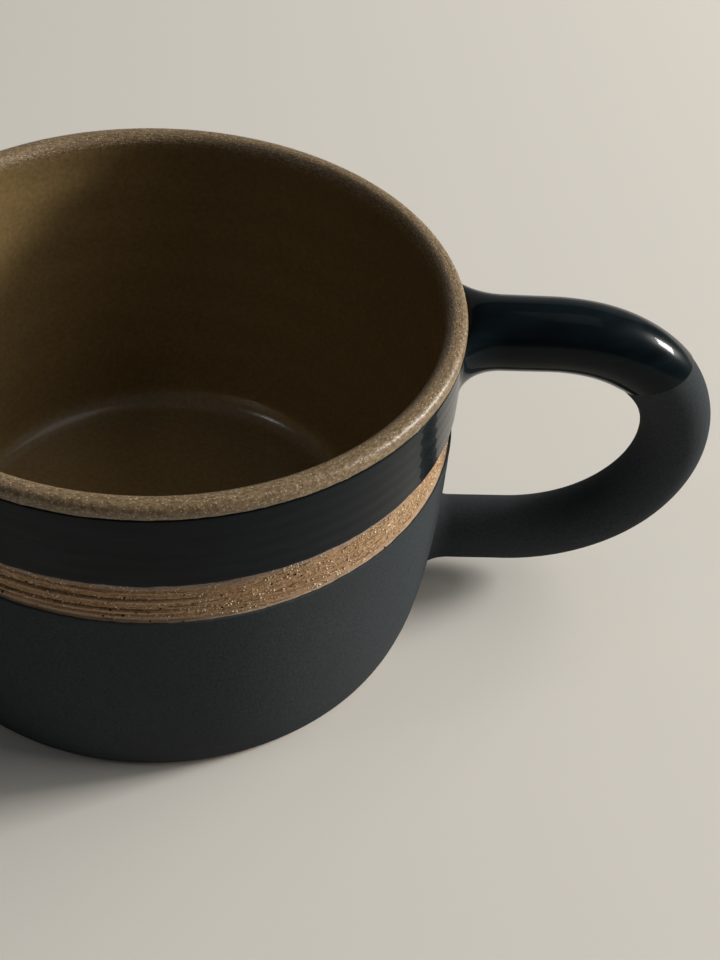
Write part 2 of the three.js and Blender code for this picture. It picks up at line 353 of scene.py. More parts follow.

# Pinholes 0.3 mm across where a grain was torn out, filled with painted shade
holes = add(tree, "ShaderNodeTexVoronoi", {"Vector": place, "Scale": per(1.5)})
hole = add(
    tree, "ShaderNodeMapRange", {"Value": holes.outputs["Distance"], "From Min": 0.14, "From Max": 0.09},
    **SOFT_STEP,
)
painted_pit_shade = add(tree, "ShaderNodeMix", {"Factor": hole, "A": painted_burr_highlight, "B": linear("#1c110a")}, **MIX_COLOUR)
grit_bump = add(tree, "ShaderNodeBump", {"Distance": 0.09 * MM, "Height": sand})
scratch_bump = add(
    tree, "ShaderNodeBump",
    {"Distance": 0.15 * MM, "Height": scratch_depth, "Normal": grit_bump}, invert=True,
)
hole_bump = add(
    tree, "ShaderNodeBump", {"Distance": 0.2 * MM, "Height": hole, "Normal": scratch_bump}, invert=True
)
close_material(stoneware, {
    "Base Color": painted_pit_shade, "Roughness": 0.9, "IOR": 1.5, "Specular IOR Level": 0.08, "Normal": hole_bump,
})

# %% [markdown]
# ## Grog grains
# Grog is ground fired clay and quartz that a potter kneads into the body. Where the tool dragged over
# the band the pale grains came to the surface. They are separate little stones in the render, so their
# material only needs a cream that changes from grain to grain, and a slight glint.

# %% Grain material
grog, tree = new_material("grog_quartz_grains")
place = add(tree, "ShaderNodeTexCoord").outputs["Object"]
tint = add(tree, "ShaderNodeTexNoise", {"Vector": place, "Scale": per(1.2), "Detail": 1.0})
tint_share = add(tree, "ShaderNodeMapRange", {"Value": tint, "From Min": 0.4, "From Max": 0.6})
cream = add(
    tree, "ShaderNodeMix",
    {"Factor": tint_share, "A": linear("#a98a63"), "B": linear("#ecdcbc")}, **MIX_COLOUR,
)
close_material(grog, {"Base Color": cream, "Roughness": 0.4, "IOR": 1.5})

# %% [markdown]
# ## Gloss glaze
# The collar and the upper handle carry a blue-black glaze that melted to a glass. The eye sees almost
# only what it reflects: the pale floor low on the wall, the dark room in a black band, and the window as
# a white mark with a soft glow. A sharp clear coat over a slightly rougher base gives the mark and its
# glow, and a very low swell in the bump keeps the reflections from being machine-straight.

# %% Gloss glaze material
gloss, tree = new_material("glaze_blue_black_gloss")
place = add(tree, "ShaderNodeTexCoord").outputs["Object"]
round_wall = add(
    tree, "ShaderNodeMapping", {"Vector": place, "Scale": (per(9), per(9), per(1.6))}, vector_type="POINT"
)
streak = add(tree, "ShaderNodeTexNoise", {"Vector": round_wall, "Scale": 1.0, "Detail": 3.0})
streak_share = add(tree, "ShaderNodeMapRange", {"Value": streak, "From Min": 0.35, "From Max": 0.7})
night = add(
    tree, "ShaderNodeMix",
    {"Factor": streak_share, "A": linear("#091013"), "B": linear("#0f181c")}, **MIX_COLOUR,
)
swell = add(tree, "ShaderNodeTexNoise", {"Vector": place, "Scale": per(5), "Detail": 1.0})
peel = add(tree, "ShaderNodeTexNoise", {"Vector": place, "Scale": per(0.7), "Detail": 2.0})
haze = add(tree, "ShaderNodeMapRange", {"Value": streak, "To Min": 0.22, "To Max": 0.3})
swell_bump = add(tree, "ShaderNodeBump", {"Distance": 0.02 * MM, "Height": swell})
peel_bump = add(tree, "ShaderNodeBump", {"Distance": 0.002 * MM, "Height": peel, "Normal": swell_bump})
close_material(gloss, {
    "Base Color": night, "Roughness": haze, "IOR": 1.45, "Specular IOR Level": 0.06,
    "Coat Weight": 0.42, "Coat Roughness": 0.04, "Coat IOR": 1.22,
    "Normal": peel_bump, "Coat Normal": peel_bump,
})

# %% [markdown]
# ## Matte slip
# The lower wall and the lower handle are coated with a charcoal slip, a liquid clay that fires dry. It
# has next to no highlight, only a fine even tooth that makes the shading soft. A noise a fraction of a
# millimetre wide gives the tooth, and a slow one the cloudiness of a coat that was poured by hand.

# %% Matte slip material
matte, tree = new_material("slip_charcoal_matte")
place = add(tree, "ShaderNodeTexCoord").outputs["Object"]
tooth = add(
    tree, "ShaderNodeTexNoise",
    {"Vector": place, "Scale": per(0.4), "Detail": 4.0, "Roughness": 0.6},
)
tooth_share = add(tree, "ShaderNodeMapRange", {"Value": tooth, "From Min": 0.3, "From Max": 0.7})
charcoal = add(
    tree, "ShaderNodeMix",
    {"Factor": tooth_share, "A": linear("#323638"), "B": linear("#404446")}, **MIX_COLOUR,
)
pour = add(tree, "ShaderNodeTexNoise", {"Vector": place, "Scale": per(14), "Detail": 2.0})
pour_share = add(
    tree, "ShaderNodeMapRange", {"Value": pour, "From Min": 0.4, "From Max": 0.7, "To Max": 0.4}
)
clouded = add(
    tree, "ShaderNodeMix", {"Factor": pour_share, "A": charcoal, "B": linear("#35393a")}, **MIX_COLOUR
)
tooth_bump = add(tree, "ShaderNodeBump", {"Distance": 0.03 * MM, "Height": tooth})
close_material(matte, {
    "Base Color": clouded, "Roughness": 0.9, "IOR": 1.45, "Specular IOR Level": 0.04,
    "Normal": tooth_bump,
})

# %% [markdown]
# ## Liner glaze
# Inside and over the lip the mug is lined with a satin olive-brown glaze. In the cup it lies thick and
# dark. On the lip it runs thin, so the sandy clay shows through it as a lighter tan with short streaks
# along the rim and cream specks. The height decides where the glaze is thin. The streaks need to follow
# the rim, so their noise is read from the distance to the axis, which changes fast across the lip, and
# from slowed-down X and Y.

# %% Liner glaze material
liner, tree = new_material("glaze_olive_brown_satin")
place = add(tree, "ShaderNodeTexCoord").outputs["Object"]
spot = add(tree, "ShaderNodeSeparateXYZ", [place])
flat = add(tree, "ShaderNodeCombineXYZ", {"X": spot.outputs["X"], "Y": spot.outputs["Y"]})
from_axis = add(tree, "ShaderNodeVectorMath", [flat], operation="LENGTH").outputs["Value"]
across_rim = add(tree, "ShaderNodeMath", [from_axis, spot.outputs["Z"]], operation="ADD")
rim_place = add(
    tree, "ShaderNodeCombineXYZ", {"X": spot.outputs["X"], "Y": spot.outputs["Y"], "Z": across_rim}
)
rim_stretch = add(
    tree, "ShaderNodeMapping",
    {"Vector": rim_place, "Scale": (per(0.7), per(0.7), per(0.35))}, vector_type="POINT",
)
rim_streak = add(
    tree, "ShaderNodeTexNoise",
    {"Vector": rim_stretch, "Scale": 1.0, "Detail": 4.0, "Roughness": 0.65},
)
rim_tone = add(tree, "ShaderNodeMapRange", {"Value": rim_streak, "From Min": 0.36, "From Max": 0.64})
thin_glaze = add(
    tree, "ShaderNodeMix",
    {"Factor": rim_tone, "A": linear("#5c4a33"), "B": linear("#8b7658")}, **MIX_COLOUR,
)
mottle = add(
    tree, "ShaderNodeTexNoise",
    {"Vector": place, "Scale": per(0.8), "Detail": 4.0, "Roughness": 0.6},
)
mottle_share = add(tree, "ShaderNodeMapRange", {"Value": mottle, "From Min": 0.3, "From Max": 0.7})
thick_glaze = add(
    tree, "ShaderNodeMix",
    {"Factor": mottle_share, "A": linear("#6e5a3a"), "B": linear("#7e6a47")}, **MIX_COLOUR,
)
thinning = add(
    tree, "ShaderNodeMapRange",
    {
        "Value": spot.outputs["Z"],
        "From Min": (lip_spring - 1.2) * MM, "From Max": (lip_spring + 0.6) * MM,
    },
    **SOFT_STEP,
)
body = add(tree, "ShaderNodeMix", {"Factor": thinning, "A": thick_glaze, "B": thin_glaze}, **MIX_COLOUR)

# Cream specks 0.25 mm across, thickest on the lip
specks = add(tree, "ShaderNodeTexVoronoi", {"Vector": place, "Scale": per(0.5)})
speck = add(
    tree, "ShaderNodeMapRange", {"Value": specks.outputs["Distance"], "From Min": 0.28, "From Max": 0.16},
    **SOFT_STEP,
)
speck_strength = add(tree, "ShaderNodeMapRange", {"Value": thinning, "To Min": 0.04, "To Max": 0.55})
speck_share = add(tree, "ShaderNodeMath", [speck, speck_strength], operation="MULTIPLY")
speckled = add(
    tree, "ShaderNodeMix", {"Factor": speck_share, "A": body, "B": linear("#cdbb9c")}, **MIX_COLOUR
)
satin = add(tree, "ShaderNodeMapRange", {"Value": thinning, "To Min": 0.2, "To Max": 0.36})
rim_bump = add(
    tree, "ShaderNodeBump", {"Distance": 0.12 * MM, "Height": rim_streak, "Strength": thinning}
)
mottle_bump = add(tree, "ShaderNodeBump", {"Distance": 0.012 * MM, "Height": mottle, "Normal": rim_bump})
close_material(liner, {"Base Color": speckled, "Roughness": satin, "IOR": 1.5, "Normal": mottle_bump})

# %% [markdown]
# ## A tree that works like a wheel
# Four of the mug's pieces are round: the clay cup, the liner, the collar and the slip. Each follows one
# rule, an outline spun about the axis, so one Geometry Nodes tree makes them all. It lays out a flat
# grid, one column for each step round and one row for each point of the outline, and rolls the grid up.
# Because every vertex knows its angle and its row, the same tree adds what hands leave on a wheel:
# finger marks that climb in a spiral, a grain, and a coat edge that wanders.

# %% Helpers for Geometry Nodes
def geometry_tree(name, inputs):
    """An empty Geometry Nodes tree with named inputs, and the sockets that give them."""
    tree = bpy.data.node_groups.new(name, "GeometryNodeTree")
    tree.interface.new_socket("Geometry", in_out="OUTPUT", socket_type="NodeSocketGeometry")
    for label, kind in {"Geometry": "Geometry", **inputs, "Material": "Material"}.items():
        tree.interface.new_socket(label, in_out="INPUT", socket_type="NodeSocket" + kind)
    return tree, tree.nodes.new("NodeGroupInput").outputs


def close_tree(tree, geometry, material):
    """Ends a tree in plain smooth geometry with its material."""
    real = add(tree, "GeometryNodeRealizeInstances", {"Geometry": geometry})
    smooth = add(tree, "GeometryNodeSetShadeSmooth", {"Geometry": real})
    painted = add(tree, "GeometryNodeSetMaterial", {"Geometry": smooth, "Material": material})
    add(tree, "NodeGroupOutput", [painted])


def grow(name, seed_mesh, tree, values):
    """The plain mesh object that a tree makes of a seed mesh, with its inputs set by identifier."""
    piece = bpy.data.objects.new(name, seed_mesh)
    bpy.context.scene.collection.objects.link(piece)
    modifier = piece.modifiers.new(tree.name, "NODES")
    modifier.node_group = tree
    for socket in tree.interface.items_tree:
        if socket.in_out == "INPUT" and socket.name in values:
            modifier[socket.identifier] = values[socket.name]
    bpy.context.view_layer.update()
    grown = bpy.data.meshes.new_from_object(piece.evaluated_get(bpy.context.evaluated_depsgraph_get()))
    piece.modifiers.remove(modifier)
    piece.data = grown
    grown.name = name
    print(name, "has", len(grown.vertices), "vertices and", len(grown.polygons), "faces")
    return piece


# %% The wheel tree
wheel, given = geometry_tree("turned_on_the_wheel", {
    "Segments": "Int", "Mark height": "Float", "Mark pitch": "Float", "Mark climb": "Float",
    "Press turn": "Float", "Least press": "Float", "Grain height": "Float", "Grain size": "Float",
    "Edge height": "Float", "Edge reach": "Float", "Edge wander": "Float", "Wander length": "Float",
    "Seed": "Float",
})
outline_size = add(wheel, "GeometryNodeAttributeDomainSize", {"Geometry": given["Geometry"]})
count = outline_size.outputs["Point Count"]
columns = add(wheel, "ShaderNodeMath", [given["Segments"], 1.0], operation="ADD")
grid = add(
    wheel, "GeometryNodeMeshGrid",
    {"Size X": 1.0, "Size Y": 1.0, "Vertices X": columns, "Vertices Y": count},
)
spot = add(wheel, "ShaderNodeSeparateXYZ", [add(wheel, "GeometryNodeInputPosition")])
turn = add(wheel, "ShaderNodeMath", [spot.outputs["X"], 0.5], operation="ADD")
angle = add(wheel, "ShaderNodeMath", [turn, 2 * math.pi], operation="MULTIPLY")
last_row = add(wheel, "ShaderNodeMath", [count, 1.0], operation="SUBTRACT")
row_share = add(wheel, "ShaderNodeMath", [spot.outputs["Y"], 0.5], operation="ADD")
row_place = add(wheel, "ShaderNodeMath", [row_share, last_row], operation="MULTIPLY")
row = add(wheel, "ShaderNodeMath", [row_place], operation="ROUND")

# The outline's own point, outward direction and detail shares, looked up by row
outline_fields = {"place": add(wheel, "GeometryNodeInputPosition")}
for label in ("outward", "detail"):
    outline_fields[label] = add(
        wheel, "GeometryNodeInputNamedAttribute", {"Name": label}, data_type="FLOAT_VECTOR"
    )
looked_up = {
    label: add(
        wheel, "GeometryNodeSampleIndex", {"Geometry": given["Geometry"], "Value": field, "Index": row},
        data_type="FLOAT_VECTOR",
    )
    for label, field in outline_fields.items()
}
place, outward = (
    add(
        wheel, "ShaderNodeVectorRotate", {"Vector": looked_up[label], "Angle": angle},
        rotation_type="Z_AXIS",
    )
    for label in ("place", "outward")
)
detail = add(wheel, "ShaderNodeSeparateXYZ", [looked_up["detail"]])

# Finger marks: a wave along the outline that climbs as the wheel turns, pressed more and less, and on
# one side most
PRESSURE_LENGTH = 40
waves = add(wheel, "ShaderNodeMath", [detail.outputs["Z"], given["Mark pitch"]], operation="DIVIDE")
climb = add(wheel, "ShaderNodeMath", [turn, given["Mark climb"]], operation="MULTIPLY")
phase = add(wheel, "ShaderNodeMath", [waves, climb], operation="ADD")
phase_angle = add(wheel, "ShaderNodeMath", [phase, 2 * math.pi], operation="MULTIPLY")
wave = add(wheel, "ShaderNodeMath", [phase_angle], operation="COSINE")
pressing = add(
    wheel, "ShaderNodeTexNoise",
    {"Vector": place, "W": given["Seed"], "Scale": per(PRESSURE_LENGTH), "Detail": 1.0},
    noise_dimensions="4D",
)
pressure = add(
    wheel, "ShaderNodeMapRange", {"Value": pressing, "From Min": 0.3, "From Max": 0.5, "To Min": 0.35}
)
from_press = add(wheel, "ShaderNodeMath", [angle, given["Press turn"]], operation="SUBTRACT")
facing = add(wheel, "ShaderNodeMath", [from_press], operation="COSINE")
one_sided = add(
    wheel, "ShaderNodeMapRange",
    {"Value": facing, "From Min": 0.6, "From Max": 0.9, "To Min": given["Least press"]},
    **SOFT_STEP,
)
press = add(wheel, "ShaderNodeMath", [pressure, one_sided], operation="MULTIPLY")
mark_size = add(
    wheel, "ShaderNodeMath", [given["Mark height"], detail.outputs["X"]], operation="MULTIPLY"
)
mark_pressed = add(wheel, "ShaderNodeMath", [mark_size, press], operation="MULTIPLY")
mark = add(wheel, "ShaderNodeMath", [mark_pressed, wave], operation="MULTIPLY")

# Grain: an even noise, half of it in and half of it out
grain_scale = add(wheel, "ShaderNodeMath", [1.0, given["Grain size"]], operation="DIVIDE")
grain_noise = add(wheel, "ShaderNodeTexNoise", {"Vector": place, "Scale": grain_scale, "Detail": 2.0})
grain_swing = add(wheel, "ShaderNodeMapRange", {"Value": grain_noise, "To Min": -1.0})
grain_size = add(
    wheel, "ShaderNodeMath", [given["Grain height"], detail.outputs["Y"]], operation="MULTIPLY"
)
grain = add(wheel, "ShaderNodeMath", [grain_swing, grain_size], operation="MULTIPLY")
relief = add(wheel, "ShaderNodeMath", [mark, grain], operation="ADD")
raised = add(wheel, "ShaderNodeVectorMath", {0: outward, "Scale": relief}, operation="SCALE")

# A coat's edge wanders up and down, and less with every millimetre away from it
level = add(wheel, "ShaderNodeSeparateXYZ", [place])
flat_place = add(wheel, "ShaderNodeCombineXYZ", {"X": level.outputs["X"], "Y": level.outputs["Y"]})
wander_scale = add(wheel, "ShaderNodeMath", [1.0, given["Wander length"]], operation="DIVIDE")
wander_noise = add(
    wheel, "ShaderNodeTexNoise",
    {"Vector": flat_place, "W": given["Seed"], "Scale": wander_scale, "Detail": 3.0},
    noise_dimensions="4D",
)
wander_swing = add(wheel, "ShaderNodeMapRange", {"Value": wander_noise, "To Min": -1.0})
from_edge = add(wheel, "ShaderNodeMath", [level.outputs["Z"], given["Edge height"]], operation="SUBTRACT")
edge_gap = add(wheel, "ShaderNodeMath", [from_edge], operation="ABSOLUTE")
nearness = add(
    wheel, "ShaderNodeMapRange",
    {"Value": edge_gap, "From Max": given["Edge reach"], "To Min": 1.0, "To Max": 0.0},
)
wander_size = add(wheel, "ShaderNodeMath", [nearness, given["Edge wander"]], operation="MULTIPLY")
wander = add(wheel, "ShaderNodeMath", [wander_swing, wander_size], operation="MULTIPLY")
lift = add(wheel, "ShaderNodeCombineXYZ", {"Z": wander})
moved = add(wheel, "ShaderNodeVectorMath", [place, raised], operation="ADD")
final = add(wheel, "ShaderNodeVectorMath", [moved, lift], operation="ADD")
marked = add(
    wheel, "GeometryNodeStoreNamedAttribute",
    {"Geometry": grid.outputs["Mesh"], "Name": "mark", "Value": mark}, data_type="FLOAT", domain="POINT",
)
rolled = add(wheel, "GeometryNodeSetPosition", {"Geometry": marked, "Position": final})
MERGE_GAP = 0.002
closed = add(wheel, "GeometryNodeMergeByDistance", {"Geometry": rolled, "Distance": MERGE_GAP * MM})
close_tree(wheel, closed, given["Material"])
print(wheel.name, "has", len(wheel.nodes), "nodes")

# %% [markdown]
# ## Outlines
# An outline is walked up the outside of a piece, over its top and down the inside, so that its left
# side is the piece and its right side is air. Each stretch says how much of the finger marks and of the
# grain it shows. The helper stores those shares, the walked length and the outward direction on the
# outline's points, where the tree finds them.

# %% Outline helpers
def stretch(points, marks=0.0, grain=0.0):
    """Points of an outline with their share of finger marks and of grain."""
    return [(radius, height, marks, grain) for radius, height in points]


def line(start, end, step):
    """Points from start to end, about a step apart, without the last one."""
    count = max(1, round(math.dist(start, end) / step))
    return [tuple(a + (b - a) * i / count for a, b in zip(start, end)) for i in range(count)]


def arc(centre, radius, first, last, steps):
    """Points of an arc between two angles in degrees, both ends included."""
    angles = [math.radians(first + (last - first) * i / steps) for i in range(steps + 1)]
    return [(centre[0] + radius * math.cos(a), centre[1] + radius * math.sin(a)) for a in angles]


def squared(points, centre, radius, power):
    """The points of an arc pushed out towards its square, as a superellipse."""
    arms = (np.array(points) - centre) / radius
    pushed = centre + radius * np.copysign(np.abs(arms) ** (2 / power), arms)
    return [tuple(point) for point in pushed]


def outline_mesh(name, stretches):
    """A chain of points in the XZ plane that carries what the wheel tree reads."""
    points = np.array([point for part in stretches for point in part])
    flat = points[:, :2]
    walk = np.concatenate([[0], np.cumsum(np.linalg.norm(np.diff(flat, axis=0), axis=1))])
    ahead = np.gradient(flat, axis=0)
    ahead /= np.maximum(np.linalg.norm(ahead, axis=1, keepdims=True), 1e-9)
    outward = np.stack([ahead[:, 1], np.zeros(len(flat)), -ahead[:, 0]], axis=1)
    detail = np.stack([points[:, 2], points[:, 3], walk * MM], axis=1)
    chain = bpy.data.meshes.new(name)
    places = [(radius * MM, 0, height * MM) for radius, height in flat]
    chain.from_pydata(places, [(i, i + 1) for i in range(len(places) - 1)], [])
    for label, values in {"outward": outward, "detail": detail}.items():
        stored = chain.attributes.new(label, "FLOAT_VECTOR", "POINT")
        stored.data.foreach_set("vector", values.astype(np.float32).ravel())
    return chain


def wall_radius(height):
    """Outside of the wall: straight, then a quarter ellipse down to the foot."""
    drop = max(0.0, HEEL_RISE - height) / HEEL_RISE
    return cup_radius - HEEL_INSET * (1 - math.sqrt(max(0.0, 1 - drop * drop)))


print("the foot is", round(2 * wall_radius(0), 1), "mm wide")

# %% [markdown]
# ## The clay cup
# Only the band, the bevel at the foot and the underside show of the clay itself. The rest lies under
# the coats, so those stretches get few points, and the band gets many, for its tooled grooves and its
# grain. A groove is a narrow V with a burr of clay pushed up below it, and its shape is stored as the
# share of marks along the outline. The real grooves are deep on one side of the cup and fade out on the
# other, so the tree is told where the tool pressed most.

# %% Clay cup
# Height of each groove above the band's lower edge, and its share of the full depth
GROOVES = {1.2: 0.45, 2.3: 0.9, 4.4: 1.0, 6.2: 0.4}
GROOVE_HALF = 0.3
GROOVE_DEPTH = 0.4
BURR_SHARE = 0.6
BURR_DROP = 1.5 * GROOVE_HALF
# The painted groove shade of the stoneware follows this depth, so it is darkest on this side of the cup
DEEPEST_TURN = 235
BAND_RECESS = 0.6
BAND_STEPS = 64
BASE_LIFT = 0.05
FOOT_ROLL = 0.1

clay_depth = COAT + BOND_GAP
clay_foot = wall_radius(0) - clay_depth
lip_middle = (cup_radius - LIP_WIDTH / 2, lip_spring)
inner_lip = cup_radius - LIP_WIDTH
wall_lean = math.atan(2 * INNER_DRAW / (lip_spring - inside_floor - CORNER_RADIUS))
corner_start = -math.degrees(wall_lean)
inner_corner = (
    inner_lip - INNER_DRAW - CORNER_RADIUS * math.cos(wall_lean), inside_floor + CORNER_RADIUS
)


def inner_wall(count):
    """The inner wall from the lip down: upright at the top, leaning in more and more to the corner."""
    low = inner_corner[1] - CORNER_RADIUS * math.sin(wall_lean)
    shares = np.linspace(0, 1, count + 1)[1:-1]
    return [(inner_lip - INNER_DRAW * t * t, lip_spring + (low - lip_spring) * t) for t in shares]


def tooling(height):
    """Share of the groove depth at a height above the band's lower edge: minus in, plus on a burr."""
    share = 0.0
    for groove, weight in GROOVES.items():
        share -= weight * max(0.0, 1 - abs(height - groove) / GROOVE_HALF)
        share += weight * BURR_SHARE * max(0.0, 1 - abs(height - groove + BURR_DROP) / GROOVE_HALF)
    return share


heel = [(wall_radius(z) - clay_depth, z) for z in np.linspace(foot_bevel, band_bottom, 12)]
band = [
    (cup_radius - BAND_RECESS, band_bottom + rise, tooling(rise), 1.0)
    for rise in np.linspace(0, band_top - band_bottom, BAND_STEPS + 1)
]
clay_outline = [
    stretch(line((0, BASE_LIFT), (clay_foot - 1, BASE_LIFT), 6), grain=0.3),
    stretch([(clay_foot - 0.5, BASE_LIFT), (clay_foot, BASE_LIFT + FOOT_ROLL)]),
    stretch(heel),
    band,
    stretch([(cup_radius - clay_depth, band_top)]),
    stretch(arc(lip_middle, LIP_WIDTH / 2 - clay_depth, 0, 180, 8)),
    stretch([(radius + clay_depth, height) for radius, height in inner_wall(12)]),
    stretch(arc(inner_corner, CORNER_RADIUS + clay_depth, corner_start, -90, 6)),
    stretch([(0, inside_floor - clay_depth)]),
]
cup = grow("clay_cup", outline_mesh("clay_outline", clay_outline), wheel, {
    "Segments": 840, "Mark height": GROOVE_DEPTH * MM, "Mark pitch": 1.0e6, "Mark climb": 0.0,
    "Press turn": math.radians(DEEPEST_TURN), "Least press": 0.12,
    "Grain height": 0.11 * MM, "Grain size": 0.6 * MM, "Edge reach": MM, "Wander length": MM,
    "Seed": 3.0, "Material": stoneware,
})

# %% [markdown]
# ## The coats of the cup
# A coat is a thin shell: up its outside, round its softened edge and back down its inside. The collar
# and the slip end at the band with a rolled edge that wanders a little. The liner starts under the lip,
# goes over it, squarer outside than inside, and down to the middle of the floor. All three carry the
# climbing finger marks of throwing.

# %% Collar, slip and liner
EDGE_ROLL = 0.25
COLLAR_ROLL = 0.4
LIP_TUCK = 2
LIP_SQUARENESS = 2.9
coat_inside = cup_radius - COAT
collar_top = lip_spring - 0.3
thrown = {"Mark climb": 1.0, "Least press": 1.0}

collar_outline = [
    stretch([(coat_inside, band_top)]),
    stretch(arc((cup_radius - EDGE_ROLL, band_top + EDGE_ROLL), EDGE_ROLL, -90, 0, 6)),
    stretch(line((cup_radius, band_top + 2 * EDGE_ROLL), (cup_radius, collar_top - 0.5), 0.5), marks=1.0),
    stretch(arc((cup_radius - COLLAR_ROLL, collar_top - COLLAR_ROLL), COLLAR_ROLL, 0, 70, 5)),
    stretch([(coat_inside, collar_top), (coat_inside, band_top)]),
]
collar = grow("collar_gloss_glaze", outline_mesh("collar_outline", collar_outline), wheel, {
    **thrown, "Segments": 720, "Mark height": 0.012 * MM, "Mark pitch": 2.6 * MM,
    "Grain height": 0.0, "Grain size": MM, "Edge height": band_top * MM, "Edge reach": 1.2 * MM,
    "Edge wander": 0.3 * MM, "Wander length": 2.6 * MM, "Seed": 1.0, "Material": gloss,
})

slip_heights = np.linspace(foot_bevel, band_bottom - 2 * EDGE_ROLL, 44)
slip_outline = [
    stretch([(wall_radius(foot_bevel) - COAT, foot_bevel)]),
    stretch([(wall_radius(z), z) for z in slip_heights], marks=1.0, grain=1.0),
    stretch(arc((cup_radius - EDGE_ROLL, band_bottom - EDGE_ROLL), EDGE_ROLL, 0, 90, 6)),
    stretch([(wall_radius(z) - COAT, z) for z in np.linspace(band_bottom, foot_bevel, 12)]),
]
slip = grow("body_matte_slip", outline_mesh("slip_outline", slip_outline), wheel, {
    **thrown, "Segments": 720, "Mark height": 0.02 * MM, "Mark pitch": 4.2 * MM,
    "Grain height": 0.015 * MM, "Grain size": 1.2 * MM, "Edge height": band_bottom * MM,
    "Edge reach": 1.2 * MM, "Edge wander": 0.3 * MM, "Wander length": 2.2 * MM, "Seed": 2.0,
    "Material": matte,
})

lip_round = LIP_WIDTH / 2
outer_lip = arc(lip_middle, lip_round, -LIP_TUCK, 90, 18)
inner_roll = arc(lip_middle, lip_round, 90, 180, 16)[1:]
lip = squared(outer_lip, lip_middle, lip_round, LIP_SQUARENESS) + inner_roll
corner = arc(inner_corner, CORNER_RADIUS, corner_start, -90, 16)
under_corner = arc(inner_corner, CORNER_RADIUS + COAT, -90, corner_start, 6)
under_wall = [(radius + COAT, height) for radius, height in reversed(inner_wall(12))]
under_lip = arc(lip_middle, lip_round - COAT, 180, 0, 10)
liner_outline = [
    stretch(lip, grain=1.0),
    stretch(inner_wall(44), marks=1.0, grain=0.5),
    stretch(corner, marks=0.6, grain=0.5),
    stretch(line(corner[-1], (0, inside_floor), 1.5)[1:], marks=0.4, grain=0.5),
    stretch([(0, inside_floor), (0, inside_floor - COAT)]),
    stretch(under_corner),
    stretch(under_wall),
    stretch(under_lip),
    stretch([(coat_inside, lip[0][1]), lip[0]]),
]
inside = grow("liner_satin_glaze", outline_mesh("liner_outline", liner_outline), wheel, {
    **thrown, "Segments": 540, "Mark height": 0.07 * MM, "Mark pitch": 8.5 * MM,
    "Grain height": 0.03 * MM, "Grain size": 0.9 * MM, "Edge height": lip[0][1] * MM,
    "Edge reach": 0.5 * MM, "Edge wander": 0.2 * MM, "Wander length": 1.8 * MM, "Seed": 4.0,
    "Material": liner,
})

# %% [markdown]
# ## The handle's path
# The handle is a round roll of clay that tapers a little, bent into a loop. Its centreline leaves the
# wall level, bends round to its outermost point and comes back the same way to the lower joint, so each
# half is one straight run and one quarter bend, a cubic curve. Every station along it stores what the
# sweep needs there: its radius, how far the roll widens and sinks towards the wall, how much it takes on
# the wall's curve, how much its section tips to the dip line, and how much its coat thins at the edge.

# %% Centreline of the loop
UPPER_RADIUS = 6.15
LOWER_RADIUS = 5.75
UPPER_SHOULDER = 0.55
UPPER_SAG = 2.0
LOWER_CLEARANCE = 4.6
RUN_LENGTH = 14.0
REACH_HEIGHT = 33.4
UPPER_FULLNESS = 0.58
LOWER_FULLNESS = 0.56
DIP_PLACE = (82.0, 48.3)
DIP_TILT = math.radians(24)

middle_radius = (UPPER_RADIUS + LOWER_RADIUS) / 2
upper_height = lip_spring - UPPER_SHOULDER - UPPER_RADIUS + UPPER_SAG
lower_height = LOWER_CLEARANCE + LOWER_RADIUS
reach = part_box("handle_slip")[1].x / MM - middle_radius


def cubic(corners, shares):
    """Points of a cubic curve at shares of its parameter."""
    a, b, c, d = (np.array(corner, float) for corner in corners)
    t = np.asarray(shares, float)[:, None]
    return a * (1 - t) ** 3 + 3 * b * t * (1 - t) ** 2 + 3 * c * t * t * (1 - t) + d * t ** 3


def walked(points):
    """How far each point is along its chain."""
    return np.concatenate([[0], np.cumsum(np.linalg.norm(np.diff(points, axis=0), axis=1))])


def bend_corners(height, fullness):
    """Corners of a quarter bend, as (distance from the axis, height)."""
    start = wall_radius(height) + RUN_LENGTH
    return [
        (start, height), (start + fullness * (reach - start), height),
        (reach, REACH_HEIGHT + fullness * (height - REACH_HEIGHT)), (reach, REACH_HEIGHT),
    ]


upper_bend = bend_corners(upper_height, UPPER_FULLNESS)
lower_bend = bend_corners(lower_height, LOWER_FULLNESS)
fine_shares = np.linspace(0, 1, 400)
fine_bend = cubic(upper_bend, fine_shares) - DIP_PLACE
below_dip = math.tan(DIP_TILT) * fine_bend[:, 0] - fine_bend[:, 1]
dip_share = np.interp(0, below_dip, fine_shares)
print(f"upper run at {upper_height:.2f} mm, centreline out to {reach:.2f} mm")
print(f"the dip line crosses at {dip_share:.3f} of the upper bend")

# %% Stations of the clay roll and its two coats
UPPER_FLARE_LENGTH = 6.5
LOWER_FLARE_LENGTH = 4.0
JOINT_DEPTH = 0.25
DIP_FADE = 8.0
EDGE_THINNING = 0.15
COAT_PROUD = 0.06
LUMP_HEIGHT = 0.05
UNDERLAP = 0.02


def run_stations(height, radius, flare_length, sag):
    """Rows of x, z, radius, nearness to the wall, sag and wall radius, from the wall to the bend."""
    near = flare_length * np.linspace(0, 1, 30) ** 2
    far = np.linspace(flare_length, RUN_LENGTH, 14)[1:-1]
    away = np.concatenate([[-JOINT_DEPTH], near, far])
    nearness = np.clip(1 - away / flare_length, 0, 1)
    sunk = sag * (1 - np.sqrt(1 - nearness ** 2))
    x = wall_radius(height) + away
    radii = radius + (middle_radius - radius) * run_share * np.maximum(away, 0) / RUN_LENGTH
    level = np.full(len(x), height)
    return np.stack([x, level, radii, nearness, sunk, np.full(len(x), wall_radius(height))], axis=1)


